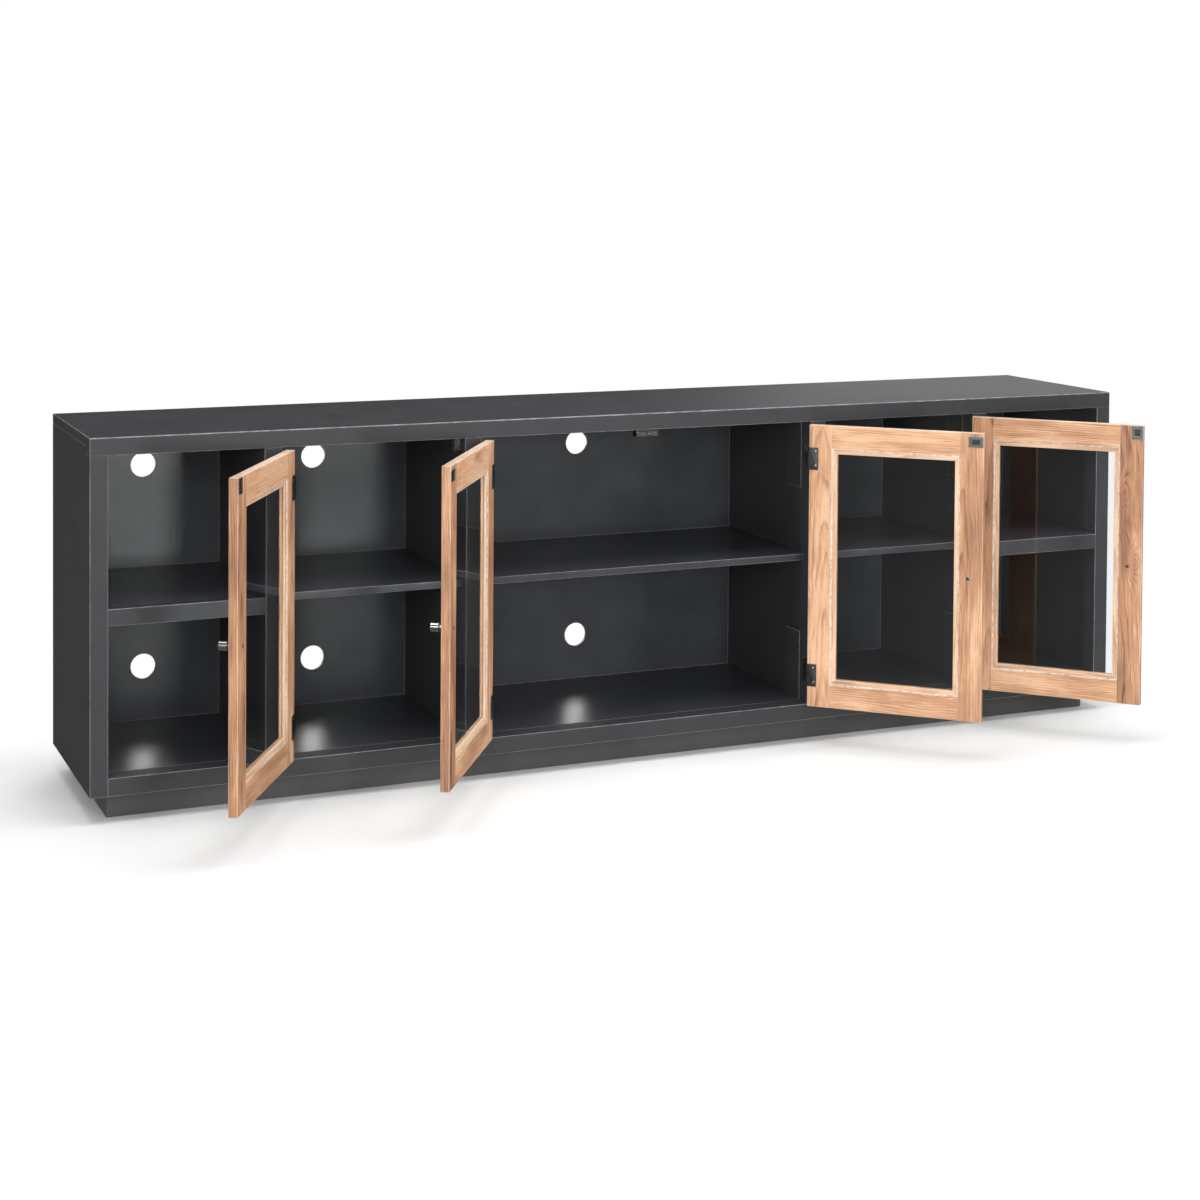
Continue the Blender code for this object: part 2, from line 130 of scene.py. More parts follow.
def outline_at(corners, inset):
    """The outline after every side has moved in by inset, as an (n, 2) array, with each point's edge mask,
    for wear and a painted highlight.

    A corner (a, b, ease) is a side's start, going anticlockwise. Its mitre is m = -(n1 + n2) / (1 + n1.n2)
    for the outward normals n1, n2 of the sides that meet there. It becomes an arc of radius ease - inset
    about the point corner + ease * m, or the point corner + inset * m where the ease is less than the inset.
    """
    table = np.array(corners, float)
    points, ease = table[:, :2], table[:, 2:3]
    along = np.roll(points, -1, 0) - points
    along /= np.linalg.norm(along, axis=1, keepdims=True)
    after = np.stack([along[:, 1], -along[:, 0]], 1)
    before = np.roll(after, 1, 0)
    dot = (before * after).sum(1, keepdims=True)
    cross = before[:, :1] * after[:, 1:] - before[:, 1:] * after[:, :1]
    mitre = -(before + after) / (1 + dot)
    share = np.linspace(0, 1, ARC_STEPS + 1)
    angle = np.arctan2(before[:, 1:], before[:, :1]) + np.arctan2(cross, dot) * share
    radius = np.maximum(ease - inset, 0)[:, :, None]
    centre = (points + np.maximum(ease, inset) * mitre)[:, None, :]
    arcs = centre + radius * np.stack([np.cos(angle), np.sin(angle)], 2)
    kept = (share[None, :] == 0) | (ease > 0)
    return arcs[kept], np.broadcast_to(4 * share * (1 - share), kept.shape)[kept]


def ring_faces(rows, columns):
    """Quads between each closed ring of points and the next, and a flat face on either end."""
    row, column = np.meshgrid(np.arange(rows - 1), np.arange(columns), indexing="ij")
    here, beside = row * columns + column, row * columns + (column + 1) % columns
    quads = np.stack([here, beside, beside + columns, here + columns], 2).reshape(-1, 4).tolist()
    last = (rows - 1) * columns
    return quads + [list(range(columns))[::-1], list(range(last, last + columns))]


def board(corners, start, end, ends=(EASE, EASE), mitre=SQUARE, sample=None):
    """A board: the outline carried from start to end, with its end edges rounded.

    At a turn t from 0 to 90 degrees round an end of ease e the section lies e (1 - sin t) in from the end and
    is inset by e (1 - cos t). A mitred end is sheared by mitre times the point's first coordinate.
    """
    turn = np.linspace(0, np.pi / 2, ARC_STEPS + 1)
    rings = [(e, t, near) for e, near in ((ends[0], True), (ends[1], False))
             for t in ((turn[::-1] if near else turn) if e else (0.0,))]
    points, rub = [], []
    for e, t, near in rings:
        flat, corner_edge_wear_and_highlight = outline_at(corners, e * (1 - math.cos(t)))
        depth = e * (1 - math.sin(t))
        place = (start + depth + mitre[0] * flat[:, 0]) if near else (end - depth + mitre[1] * flat[:, 0])
        points.append(np.column_stack([flat, place]))
        rub.append(np.maximum(corner_edge_wear_and_highlight, math.sin(2 * t) if e else 0.0))
    heart, tone = sample or grain_sample()
    points = np.concatenate(points)
    faces = ring_faces(len(rings), len(points) // len(rings))
    middle = np.append(np.array(corners)[:, :2].mean(0), 0.0)
    return points, faces, points - middle + heart, np.concatenate(rub), tone


def loose_shell(points, faces):
    """A shell with no worn edges, cut from anywhere."""
    offset, tone = grain_sample()
    return points, faces, points + offset, np.zeros(len(points)), tone


def turned(profile, steps=32):
    """A turned shape: each (radius, height) of the profile swept round the third axis, with flat ends."""
    radius, height = np.array(profile, float).T
    angle = np.linspace(0, 2 * np.pi, steps, endpoint=False)
    around = radius[:, None] * np.cos(angle), radius[:, None] * np.sin(angle)
    points = np.stack([*around, np.broadcast_to(height[:, None], around[0].shape)], 2).reshape(-1, 3)
    return loose_shell(points, ring_faces(len(radius), steps))


def screw_head(radius, rise, slot=0.2, arm=0.62, steps=40):
    """A cross-recessed screw head on a polar grid, with a short wall down from its rim.

    At x, y in units of its radius its height is rise (1 - 0.75 (x^2 + y^2) - 0.8 cut). cut goes from 0 to 1
    over a sloping wall, inside the cross where the smaller of |x| and |y| is under slot and the larger is
    under arm.
    """
    dome, recess, wall = 0.75, 0.8, 0.08
    share = np.concatenate([[1.0, 1.0], np.linspace(0.96, 0.03, 17)])
    angle = np.linspace(0, 2 * np.pi, steps, endpoint=False)
    x, y = share[:, None] * np.cos(angle), share[:, None] * np.sin(angle)
    thin, wide = np.minimum(abs(x), abs(y)), np.maximum(abs(x), abs(y))
    cut = np.clip((slot - thin) / wall, 0, 1) * np.clip((arm - wide) / wall, 0, 1)
    height = rise * (1 - dome * (x * x + y * y) - recess * cut)
    height[0] = -rise
    points = np.stack([radius * x, radius * y, height], 2).reshape(-1, 3)
    return loose_shell(points, ring_faces(len(share), steps))


def sealant_run(length, radius, seed, spacing=0.004, around=10):
    """A hand-run line of sealant: a round bead whose radius and place wander along it.

    The radius is R (1 + 0.35 w) for a smooth wave w, the sum of four sines of random phase.
    """
    count = max(8, int(length / spacing))
    along = np.linspace(0, length, count)
    draw = np.random.default_rng(seed)
    per_metre = 31, 77, 143, 290
    waves = sum(np.sin(along * k + draw.uniform(0, 6.3)) / n for n, k in enumerate(per_metre, 1)) / 2
    angle = np.linspace(0, 2 * np.pi, around, endpoint=False)
    size = radius * (1 + 0.35 * waves)[:, None]
    a = size * np.cos(angle) + 0.15 * radius * np.roll(waves, 7)[:, None]
    b = 0.7 * size * np.sin(angle)
    points = np.stack([a, b, np.broadcast_to(along[:, None], a.shape)], 2).reshape(-1, 3)
    return loose_shell(points, ring_faces(count, around))


def grain_sample(tone=None):
    """Where in the tree a board was cut, from the heart, and how dark it is from 0 to 1."""
    far, turn = RANDOM.uniform(0.030, 0.085), RANDOM.uniform(0.9, 2.2)
    heart = np.array([far * math.cos(turn), far * math.sin(turn), RANDOM.uniform(-40, 40)])
    return heart, float(RANDOM.uniform(0.3, 0.7)) if tone is None else tone


def placed(shell, origin, a, b, s):
    """The shell with its three axes laid along a, b and s, its faces turned round where they mirror it."""
    points, faces, grain, rub, tone = shell
    axes = np.array([a, b, s], float)
    if np.linalg.det(axes) < 0:
        faces = [face[::-1] for face in faces]
    return points @ axes + np.asarray(origin, float), faces, grain, rub, tone


def new_object(name, data):
    made = bpy.data.objects.new(name, data)
    bpy.context.scene.collection.objects.link(made)
    return made


def add_piece(name, body, material, shells, replaces=(), slot=None):
    """A mesh object of several closed shells, which rides on a body and may stand for parts of the frame."""
    counts = np.cumsum([0] + [len(shell[0]) for shell in shells])
    faces = [[i + first for i in face] for shell, first in zip(shells, counts) for face in shell[1]]
    mesh = bpy.data.meshes.new(name)
    mesh.from_pydata(np.concatenate([shell[0] for shell in shells]).tolist(), [], faces)
    places = np.concatenate([shell[2] for shell in shells]).astype(np.float32)
    mesh.attributes.new("grain", "FLOAT_VECTOR", "POINT").data.foreach_set("vector", places.ravel())
    tones = [np.full(len(shell[0]), shell[4]) for shell in shells]
    for label, values in (("rub", [shell[3] for shell in shells]), ("tone", tones)):
        attribute = mesh.attributes.new(label, "FLOAT", "POINT")
        attribute.data.foreach_set("value", np.concatenate(values).astype(np.float32))
    mesh.shade_smooth()
    mesh.set_sharp_from_angle(angle=math.radians(SHARP_DEG))
    mesh.materials.append(material)
    piece = new_object(name, mesh)
    flatten = piece.modifiers.new("flat_faces", "WEIGHTED_NORMAL")
    flatten.keep_sharp = True
    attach(piece, body)
    if replaces:
        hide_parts(*replaces)
    return piece


def top_painted_highlight(shell, height):
    """The shell with its top, at this height, given the edge mask of an eased edge: a painted highlight for
    light from above, paler than the door's face.
    """
    points, faces, grain, rub, tone = shell
    return points, faces, grain, np.where(points[:, 2] > height - 1e-5, 0.9, rub), tone


def rectangle(low, high, ease=EASE):
    """A rectangle's corners, anticlockwise. ease is one radius, or four from the lowest corner."""
    eases = (ease,) * 4 if isinstance(ease, float) else ease
    (a, b), (c, d) = low, high
    return [(*point, e) for point, e in zip(((a, b), (c, b), (c, d), (a, d)), eases)]


# ----------------------------------------
# Materials

class Graph:
    """Short ways to add nodes to a material or a node group."""

    def __init__(self, tree):
        self.tree = tree

    def add(self, kind, inputs=(), **settings):
        made = self.tree.nodes.new("ShaderNode" + kind)
        for key, value in settings.items():
            setattr(made, key, value)
        for key, value in dict(inputs).items():
            if isinstance(value, bpy.types.NodeSocket):
                self.tree.links.new(value, made.inputs[key])
            else:
                made.inputs[key].default_value = value
        return made

    def math(self, operation, a, b=0.0, c=0.0):
        return self.add("Math", {0: a, 1: b, 2: c}, operation=operation).outputs[0]

    def vector(self, operation, a, b):
        made = self.add("VectorMath", {0: a, 1: b}, operation=operation)
        return made.outputs["Value" if operation == "LENGTH" else "Vector"]

    def noise(self, vector, scale, detail=2.0, roughness=0.5):
        return self.add("TexNoise", {"Vector": vector, "Scale": scale, "Detail": detail,
                                     "Roughness": roughness}).outputs["Fac"]

    def between(self, value, low, high, to_low=0.0, to_high=1.0):
        return self.add("MapRange", {"Value": value, "From Min": low, "From Max": high, "To Min": to_low,
                                     "To Max": to_high}).outputs["Result"]

    def colour_mix(self, factor, a, b):
        return self.add("Mix", {0: factor, 6: a, 7: b}, data_type="RGBA").outputs[2]

    def ramp(self, value, stops):
        made = self.add("ValToRGB", {"Fac": value})
        elements = made.color_ramp.elements
        elements[0].position, elements[0].color = stops[0][0], (*stops[0][1], 1)
        elements[1].position, elements[1].color = stops[-1][0], (*stops[-1][1], 1)
        for position, colour in stops[1:-1]:
            elements.new(position).color = (*colour, 1)
        return made.outputs["Color"]

    def attribute(self, name, output="Fac"):
        return self.add("Attribute", attribute_name=name).outputs[output]

    def group(self, tree, inputs):
        return self.add("Group", inputs, node_tree=tree).outputs

    def bump(self, height, strength, distance):
        inputs = {"Height": height, "Strength": strength, "Distance": distance}
        return self.add("Bump", inputs).outputs["Normal"]

    def surface(self, factor, a, b):
        """Makes the material's surface a mix of two shader nodes."""
        mixed = self.add("MixShader", {0: factor, 1: a.outputs[0], 2: b.outputs[0]})
        self.tree.links.new(mixed.outputs[0], self.tree.nodes["Material Output"].inputs["Surface"])

    def mottled(self, colour, mottle, amount):
        """The colour, darker and lighter by up to amount where the mottle is low and high."""
        shade = self.between(mottle, 0.3, 0.7, 1 - amount, 1 + amount)
        grey = self.add("CombineXYZ", {0: shade, 1: shade, 2: shade}).outputs[0]
        return self.vector("MULTIPLY", colour, grey)


def new_group(name, inputs, outputs):
    """A node group with a Vector input and these number inputs and outputs, its graph and its two ends."""
    tree = bpy.data.node_groups.new(name, "ShaderNodeTree")
    tree.interface.new_socket(name="Vector", in_out="INPUT", socket_type="NodeSocketVector")
    for label, default in inputs.items():
        socket = tree.interface.new_socket(name=label, in_out="INPUT", socket_type="NodeSocketFloat")
        socket.default_value = default
    for label in outputs:
        tree.interface.new_socket(name=label, in_out="OUTPUT", socket_type="NodeSocketFloat")
    given, out = tree.nodes.new("NodeGroupInput").outputs, tree.nodes.new("NodeGroupOutput").inputs
    return tree, Graph(tree), given, out


def wood_figure_group():
    """Growth rings, streaks, pores and knots of a board, from its own grain coordinates.

    A ring is the distance from the tree's heart plus a lean along the board, pushed about by slow noise and
    by sparse knots. It darkens toward its late wood and stops short there. Fibres are noise drawn out along
    the board.
    """
    tree, g, given, out = new_group(
        "wood_figure", {"Tone": 0.5, "Ring Spacing": 0.006, "Wander": 0.02, "Lean": 0.022, "Knots": 1.0},
        ("Figure", "Knot", "Pores", "Height"))
    place = given["Vector"]
    slow = g.vector("MULTIPLY", place, (1.0, 1.0, 0.16))
    wander = g.add("TexNoise", {"Vector": slow, "Scale": 13.0, "Detail": 3.0, "Roughness": 0.45})
    drift = g.vector("SUBTRACT", wander.outputs["Color"], (0.5, 0.5, 0.5))
    drift = g.add("VectorMath", {0: drift, "Scale": given["Wander"]}, operation="SCALE").outputs["Vector"]
    cells = g.add("TexVoronoi", {"Vector": g.vector("MULTIPLY", place, (13.0, 13.0, 5.2)), "Scale": 1.0},
                  feature="F1")
    near = g.between(cells.outputs["Distance"], 0.42, 0.0)
    knot = g.math("MULTIPLY", g.math("POWER", near, 2.4), given["Knots"])
    heart = g.vector("ADD", g.vector("MULTIPLY", place, (1.0, 1.0, 0.0)), drift)
    along = g.add("SeparateXYZ", {0: place}).outputs[2]
    ring = g.math("MULTIPLY_ADD", along, given["Lean"], g.vector("LENGTH", heart, (0, 0, 0)))
    ring = g.math("MULTIPLY_ADD", knot, 0.030, ring)
    phase = g.math("FRACT", g.math("DIVIDE", ring, given["Ring Spacing"]))
    late = g.math("MULTIPLY", g.math("POWER", phase, 3.5), g.between(phase, 1.0, 0.90))
    faint = g.between(g.noise(g.vector("MULTIPLY", place, (1.0, 1.0, 0.2)), 60.0, 2.0), 0.36, 0.64, 0.15, 1.0)
    late = g.math("MULTIPLY", late, faint)
    broad = g.noise(g.vector("ADD", slow, drift), 21.0, 4.0, 0.6)
    streak = g.noise(g.vector("MULTIPLY", place, (1.0, 1.0, 0.030)), 420.0, 4.0, 0.65)
    pores = g.between(g.noise(g.vector("MULTIPLY", place, (1.0, 1.0, 0.045)), 1500.0, 1.0), 0.60, 0.70)
    figure = g.math("MULTIPLY_ADD", broad, 0.75, g.math("MULTIPLY_ADD", streak, 0.47, -0.11))
    figure = g.math("MULTIPLY_ADD", late, 0.30, figure)
    figure = g.math("MULTIPLY_ADD", g.math("SUBTRACT", given["Tone"], 0.5), 0.22, figure)
    height = g.math("MULTIPLY_ADD", pores, -0.6, g.math("MULTIPLY", streak, 0.5))
    for value, name in ((figure, "Figure"), (knot, "Knot"), (pores, "Pores"), (height, "Height")):
        tree.links.new(value, out[name])
    return tree


def worn_and_highlit_finish_group():
    """A finish's unevenness: broad mottle, fine tooth, the board's grain showing through, and a ragged edge
    mask for worn edges and the painted highlight along them.
    """
    tree, g, given, out = new_group(
        "rubbed_finish", {"Rub": 0.0, "Mottle Scale": 9.0, "Tooth Scale": 420.0, "Tooth": 0.5, "Grain": 0.5},
        ("Mottle", "Wear", "Height"))
    place = given["Vector"]
    mottle = g.noise(place, given["Mottle Scale"], 4.0, 0.6)
    grain = g.noise(g.vector("MULTIPLY", place, (1.0, 1.0, 0.03)), 300.0, 2.0, 0.6)
    tooth = g.noise(place, given["Tooth Scale"], 2.0, 0.6)
    # The edge mask, broken up: wear on the edges, and in lacquer and walnut a painted highlight along them.
    ragged = g.between(g.noise(place, 60.0, 3.0), 0.35, 0.65, 0.45, 1.0)
    wear_and_highlight = g.math("MULTIPLY", given["Rub"], ragged)
    height = g.math("MULTIPLY_ADD", tooth, given["Tooth"], g.math("MULTIPLY", grain, given["Grain"]))
    for value, name in ((mottle, "Mottle"), (wear_and_highlight, "Wear"), (height, "Height")):
        tree.links.new(value, out[name])
    return tree


WOOD_FIGURE = wood_figure_group()
WORN_AND_HIGHLIT_FINISH = worn_and_highlit_finish_group()


def new_material(name):
    material = bpy.data.materials.new(name)
    material.use_nodes = True
    return material, Graph(material.node_tree), material.node_tree.nodes["Principled BSDF"]


def feed(g, shader, **sockets):
    """Sets or links the shader's inputs, named with underscores for spaces."""
    for key, value in sockets.items():
        socket = shader.inputs[key.replace("_", " ")]
        if isinstance(value, bpy.types.NodeSocket):
            g.tree.links.new(value, socket)
        else:
            socket.default_value = value


def walnut(name, dark, middle, light, spacing, wander, knots):
    """Natural walnut under clear satin: late-wood lines and streaks, reddish knots, pores, and arrises paler,
    partly from wear and partly as a painted highlight.
    """
    material, g, shader = new_material(name)
    place = g.attribute("grain", "Vector")
    figure = g.group(WOOD_FIGURE, {"Vector": place, "Tone": g.attribute("tone"), "Ring Spacing": spacing,
                                   "Wander": wander, "Knots": knots})
    colour = g.ramp(figure["Figure"], [(0.38, light), (0.56, middle), (0.84, dark)])
    colour = g.colour_mix(g.math("MULTIPLY", figure["Knot"], 0.55), colour, (0.34, 0.13, 0.075, 1))
    colour = g.colour_mix(g.math("MULTIPLY", figure["Pores"], 0.30), colour, (0.22, 0.10, 0.055, 1))
    finish = g.group(WORN_AND_HIGHLIT_FINISH, {"Vector": place, "Rub": g.attribute("rub"), "Mottle Scale": 14.0})
    # Pale on the edge mask: worn arrises, and a painted highlight on them and on the frame's tops.
    colour = g.colour_mix(g.math("MULTIPLY", finish["Wear"], 0.62), colour, (0.93, 0.80, 0.68, 1))
    feed(g, shader, Base_Color=colour, Roughness=g.between(finish["Mottle"], 0.3, 0.7, 0.36, 0.48), IOR=1.45,
         Normal=g.bump(figure["Height"], 0.25, 0.0004))
    return material


def lacquer(name, colour, worn_and_highlit_edge, rough=0.305, tooth_scale=300.0, tooth=0.6):
    """Black satin lacquer on board: slightly uneven sheen, fine tooth, eased edges lighter and smoother,
    partly from wear and partly as a painted highlight along the arrises.
    """
    material, g, shader = new_material(name)
    finish = g.group(WORN_AND_HIGHLIT_FINISH, {"Vector": g.attribute("grain", "Vector"), "Rub": g.attribute("rub"),
                                     "Tooth Scale": tooth_scale, "Tooth": tooth, "Grain": 0.35})
    # The edge colour on the edge mask: wear on the arrises and a painted highlight along them.
    base = g.colour_mix(finish["Wear"], g.mottled(colour, finish["Mottle"], 0.12), (*worn_and_highlit_edge, 1))
    satin = g.between(finish["Mottle"], 0.3, 0.7, rough - 0.022, rough + 0.022)
    feed(g, shader, Base_Color=base, Roughness=g.math("MULTIPLY_ADD", finish["Wear"], -0.10, satin), IOR=1.45,
         Normal=g.bump(finish["Height"], 0.20, 0.0003))
    return material


def lacquer_on_frame_part(name, colour, rough, strength, mottle):
    """The same lacquer for a part of the frame that keeps its own mesh, on its Object coordinates."""
    material, g, shader = new_material(name)
    place = g.add("TexCoord").outputs["Object"]
    finish = g.group(WORN_AND_HIGHLIT_FINISH, {"Vector": place, "Tooth Scale": 260.0, "Tooth": 1.0, "Grain": 0.1,
                                     "Mottle Scale": 7.0})
    satin = g.between(finish["Mottle"], 0.3, 0.7, rough - 0.05, rough + 0.05)
    feed(g, shader, Base_Color=g.mottled(colour, finish["Mottle"], mottle), Roughness=satin, IOR=1.45,
         Normal=g.bump(finish["Height"], strength, 0.0006))
    return material


def metal(name, colour, worn, rough, tooth, strength):
    """Plated or blackened metal: faint blotches in its sheen, a fine tooth, and brighter edges."""
    material, g, shader = new_material(name)
    finish = g.group(WORN_AND_HIGHLIT_FINISH, {"Vector": g.attribute("grain", "Vector"), "Rub": g.attribute("rub"),
                                     "Mottle Scale": 160.0, "Tooth Scale": 2600.0, "Tooth": tooth,
                                     "Grain": 0.4})
    base = g.colour_mix(finish["Wear"], (*colour, 1), (*worn, 1))
    base = g.colour_mix(g.between(finish["Mottle"], 0.4, 0.8, 0.0, 0.25), base, (*worn, 1))
    roughness = g.between(finish["Mottle"], 0.3, 0.7, rough - 0.06, rough + 0.08)
    feed(g, shader, Base_Color=base, Roughness=roughness, Metallic=1.0,
         Normal=g.bump(finish["Height"], strength, 0.0001))
    return material


def clear_glass():
    """Clear float glass, which lets lamps through to what stands behind it."""
    material, g, shader = new_material("clear_glass")
    feed(g, shader, Base_Color=(0.94, 0.955, 0.965, 1), Roughness=0.0, IOR=1.5, Transmission_Weight=1.0)
    through = g.add("BsdfTransparent", {"Color": (0.93, 0.96, 0.95, 1)})
    g.surface(g.add("LightPath").outputs["Is Shadow Ray"], shader, through)
    return material


def sealant():
    """Milky glazing sealant, dragged thin in places so that the wood shows through."""
    material, g, shader = new_material("glazing_sealant")
    finish = g.group(WORN_AND_HIGHLIT_FINISH, {"Vector": g.attribute("grain", "Vector"), "Mottle Scale": 90.0,
                                     "Tooth Scale": 900.0, "Tooth": 0.8})
    colour = g.ramp(finish["Mottle"], [(0.36, (0.50, 0.36, 0.26)), (0.47, (0.66, 0.55, 0.46)),
                                       (0.62, (0.84, 0.79, 0.73))])
    feed(g, shader, Base_Color=colour, Roughness=0.38, Normal=g.bump(finish["Height"], 0.5, 0.0003))
    return material


WALNUT = walnut("walnut", dark=(0.18, 0.078, 0.042), middle=(0.50, 0.260, 0.140), light=(0.76, 0.475, 0.285),
                spacing=0.0048, wander=0.034, knots=0.8)
WALNUT_BEAD = walnut("walnut_bead", dark=(0.36, 0.19, 0.105), middle=(0.62, 0.385, 0.235),
                     light=(0.80, 0.56, 0.38), spacing=0.0045, wander=0.012, knots=0.0)
# Each lacquer's second colour goes on its eased edges: wear and a painted arris highlight.
LACQUER = lacquer("black_lacquer", (0.037, 0.038, 0.042), (0.30, 0.305, 0.32), rough=0.54,
                  tooth_scale=420.0, tooth=0.35)
# A lighter, bluer copy of the black lacquer for shelves and floor: painted light for the shade inside the
# bays.
LACQUER_INSIDE_PAINTED_LIGHTER = lacquer("black_lacquer_inside", (0.042, 0.044, 0.050), (0.24, 0.245, 0.26))
# Much paler, for the joint lines: a painted sheen where the back's joints catch the light.
LACQUER_LINE_PAINTED_SHEEN = lacquer("black_lacquer_joint_line", (0.13, 0.135, 0.145), (0.26, 0.265, 0.28))
# Lighter and bluer, for the back panel: painted light for the shade at the back of the bays.
LACQUER_BACK_PAINTED_LIGHTER = lacquer_on_frame_part("black_lacquer_back", (0.044, 0.048, 0.054), rough=0.335,
                                     strength=0.6, mottle=0.16)
# Lighter and warmer than the case's lacquer, for the plinth: painted light for the shade under the case.
LACQUER_PLINTH_PAINTED_LIGHTER = lacquer_on_frame_part("black_lacquer_plinth", (0.070, 0.069, 0.067), rough=0.42,
                                       strength=0.3, mottle=0.12)
NICKEL = metal("satin_nickel", (0.42, 0.41, 0.395), (0.72, 0.71, 0.69), rough=0.21, tooth=0.3, strength=0.05)
DARK_STEEL = metal("dark_steel", (0.085, 0.092, 0.095), (0.34, 0.36, 0.36), rough=0.36, tooth=1.0,
                   strength=0.20)
SCREW_STEEL = metal("screw_steel", (0.42, 0.32, 0.25), (0.70, 0.60, 0.52), rough=0.27, tooth=0.5,
                    strength=0.10)
STRIKE_STEEL = metal("strike_steel", (0.26, 0.275, 0.27), (0.42, 0.44, 0.44), rough=0.34, tooth=1.0,
                     strength=0.20)
GLASS = clear_glass()
SEALANT = sealant()


# ----------------------------------------
# Case

def limits(node):
    low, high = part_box(node)
    return np.array(low), np.array(high)


RAIL_LOW, RAIL_HIGH = limits("bottom_rail")
POST_FRONT, POST_BACK = RAIL_LOW[1], RAIL_HIGH[1]
UNDER_EDGE = limits("top_panel")[0][2] - GAP  # just below the top's front edge
POST_LOW, POST_HIGH = limits("divider_1")
PANEL_T = (POST_HIGH[0] - POST_LOW[0]) / 2  # a divider or side is half as thick as its post


def along_x(*given, **more):
    return placed(board(*given, **more), (0, 0, 0), Y, Z, X)


def along_y(*given, **more):
    return placed(board(*given, **more), (0, 0, 0), Z, X, Y)


def along_z(*given, **more):
    return placed(board(*given, **more), (0, 0, 0), X, Y, Z)


def make_top_and_bottom():
    low, high = limits("top_panel")
    edge_back = low[1] + (POST_BACK - POST_FRONT)
    slab_under = POST_HIGH[2] + GAP
    section = [(low[1], low[2], EASE), (edge_back, low[2], EASE), (edge_back, slab_under, 0.0),
               (high[1], slab_under, EASE), (high[1], high[2], TOP_CORNER), (low[1], high[2], TOP_CORNER)]
    add_piece("top", "case", LACQUER, [along_x(section, low[0], high[0])], ["top_panel"], "black_lacquer")
    rail = along_x(rectangle(RAIL_LOW[1:], RAIL_HIGH[1:]), RAIL_LOW[0], RAIL_HIGH[0], ends=(JOINT_EASE,) * 2)
    add_piece("face_rail", "case", LACQUER, [rail], ["bottom_rail"], "black_lacquer")
    low, high = limits("bottom_panel")
    floor = along_x(rectangle(low[1:], high[1:], JOINT_EASE), low[0], high[0], ends=SQUARE)
    add_piece("floor_of_case", "case", LACQUER_INSIDE_PAINTED_LIGHTER, [floor], ["bottom_panel"], "black_lacquer")


def make_sides():
    """Each side's panel and stile are one L section up to the top's front edge, and then the panel alone."""
    for name, side in (("side_left", -1), ("side_right", 1)):
        low, high = limits(name)
        outer, width = (low[0] if side < 0 else high[0]), high[0] - low[0]
        section = [(0.0, low[1], EASE), (width, low[1], EASE), (width, POST_BACK, EASE),
                   (PANEL_T, POST_BACK, 0.0), (PANEL_T, high[1], EASE), (0.0, high[1], EASE)]
        behind = rectangle((0.0, POST_BACK + GAP), (PANEL_T, high[1]), (0.0, 0.0, EASE, EASE))
        axes = ((outer, 0, 0), -side * X, Y, Z)
        sample = grain_sample()
        shells = [placed(board(section, low[2], UNDER_EDGE, ends=(EASE, 0.0), sample=sample), *axes),
                  placed(board(behind, UNDER_EDGE, high[2], ends=(0.0, JOINT_EASE), sample=sample), *axes)]
        add_piece(name + "_and_stile", "case", LACQUER, shells, [name], "black_lacquer")


def make_dividers():
    """A front post, the panel behind it, and two fixing pads on the side that carries hinges."""
    pins = [joint["pos_m"][0] for joint in frame["joints"]]
    for number in range(1, 5):
        name = f"divider_{number}"
        low, high = limits(name)
        middle, half = (low[0] + high[0]) / 2, PANEL_T / 2
        hinge_side = 1 if min(pins, key=lambda x: abs(x - middle)) > middle else -1
        post = rectangle((low[0], POST_FRONT), (high[0], POST_BACK))
        panel = rectangle((middle - half, POST_BACK), (middle + half, high[1]), 0.0)
        shells = [along_z(post, low[2], UNDER_EDGE, ends=(JOINT_EASE,) * 2),
                  along_z(panel, low[2], high[2], ends=SQUARE)]
        x0, x1 = sorted((middle + hinge_side * half, middle + hinge_side * (high[0] - low[0]) / 2))
        eased = (0.0, EASE, TOP_EASE, 0.0) if hinge_side > 0 else (EASE, 0.0, 0.0, TOP_EASE)
        pad = rectangle((x0, POST_BACK), (x1, POST_BACK + PAD_DEEP), eased)
        shells += [along_z(pad, low[2], low[2] + PAD_HIGH), along_z(pad, UNDER_EDGE - PAD_HIGH, UNDER_EDGE)]
        add_piece(f"{name}_and_post", "case", LACQUER, shells, [name], "black_lacquer")


def shelf_under(number):
    """The underside of a shelf's board, behind any front lip."""
    low, high = limits(f"shelf_{number}")
    return high[2] - NICHE_SHELF_T if number in NICHES else low[2]


def make_shelves():
    """Each shelf spans its posts, with tongues behind them. The niches' shelves have a deep front lip."""
    for number in range(1, 6):
        name = f"shelf_{number}"
        low, high = limits(name)
        left = low[0] + (SIDE_TONGUE if number == 1 else TONGUE)
        right = high[0] - (SIDE_TONGUE if number == 5 else TONGUE)
        front, eased = low[1], (EASE, 0.0, 0.0, EASE)
        more = {"ends": SQUARE, "sample": grain_sample()}
        if number in NICHES:
            front, eased = low[1] + NICHE_LIP_DEEP, 0.0
            lip = rectangle((low[1], low[2]), (front, high[2]), (EASE, EASE, 0.0, EASE))
            add_piece(f"{name}_lip", "case", LACQUER, [along_x(lip, left, right, **more)])
        section = rectangle((front, shelf_under(number)), (high[1], high[2]), eased)
        tongue = rectangle((POST_BACK + GAP, shelf_under(number)), (high[1], high[2]), 0.0)
        shells = [along_x(section, left, right, **more), along_x(tongue, low[0], left, **more),
                  along_x(tongue, right, high[0], **more)]
        add_piece(f"{name}_board", "case", LACQUER_INSIDE_PAINTED_LIGHTER, shells, [name], "black_lacquer")


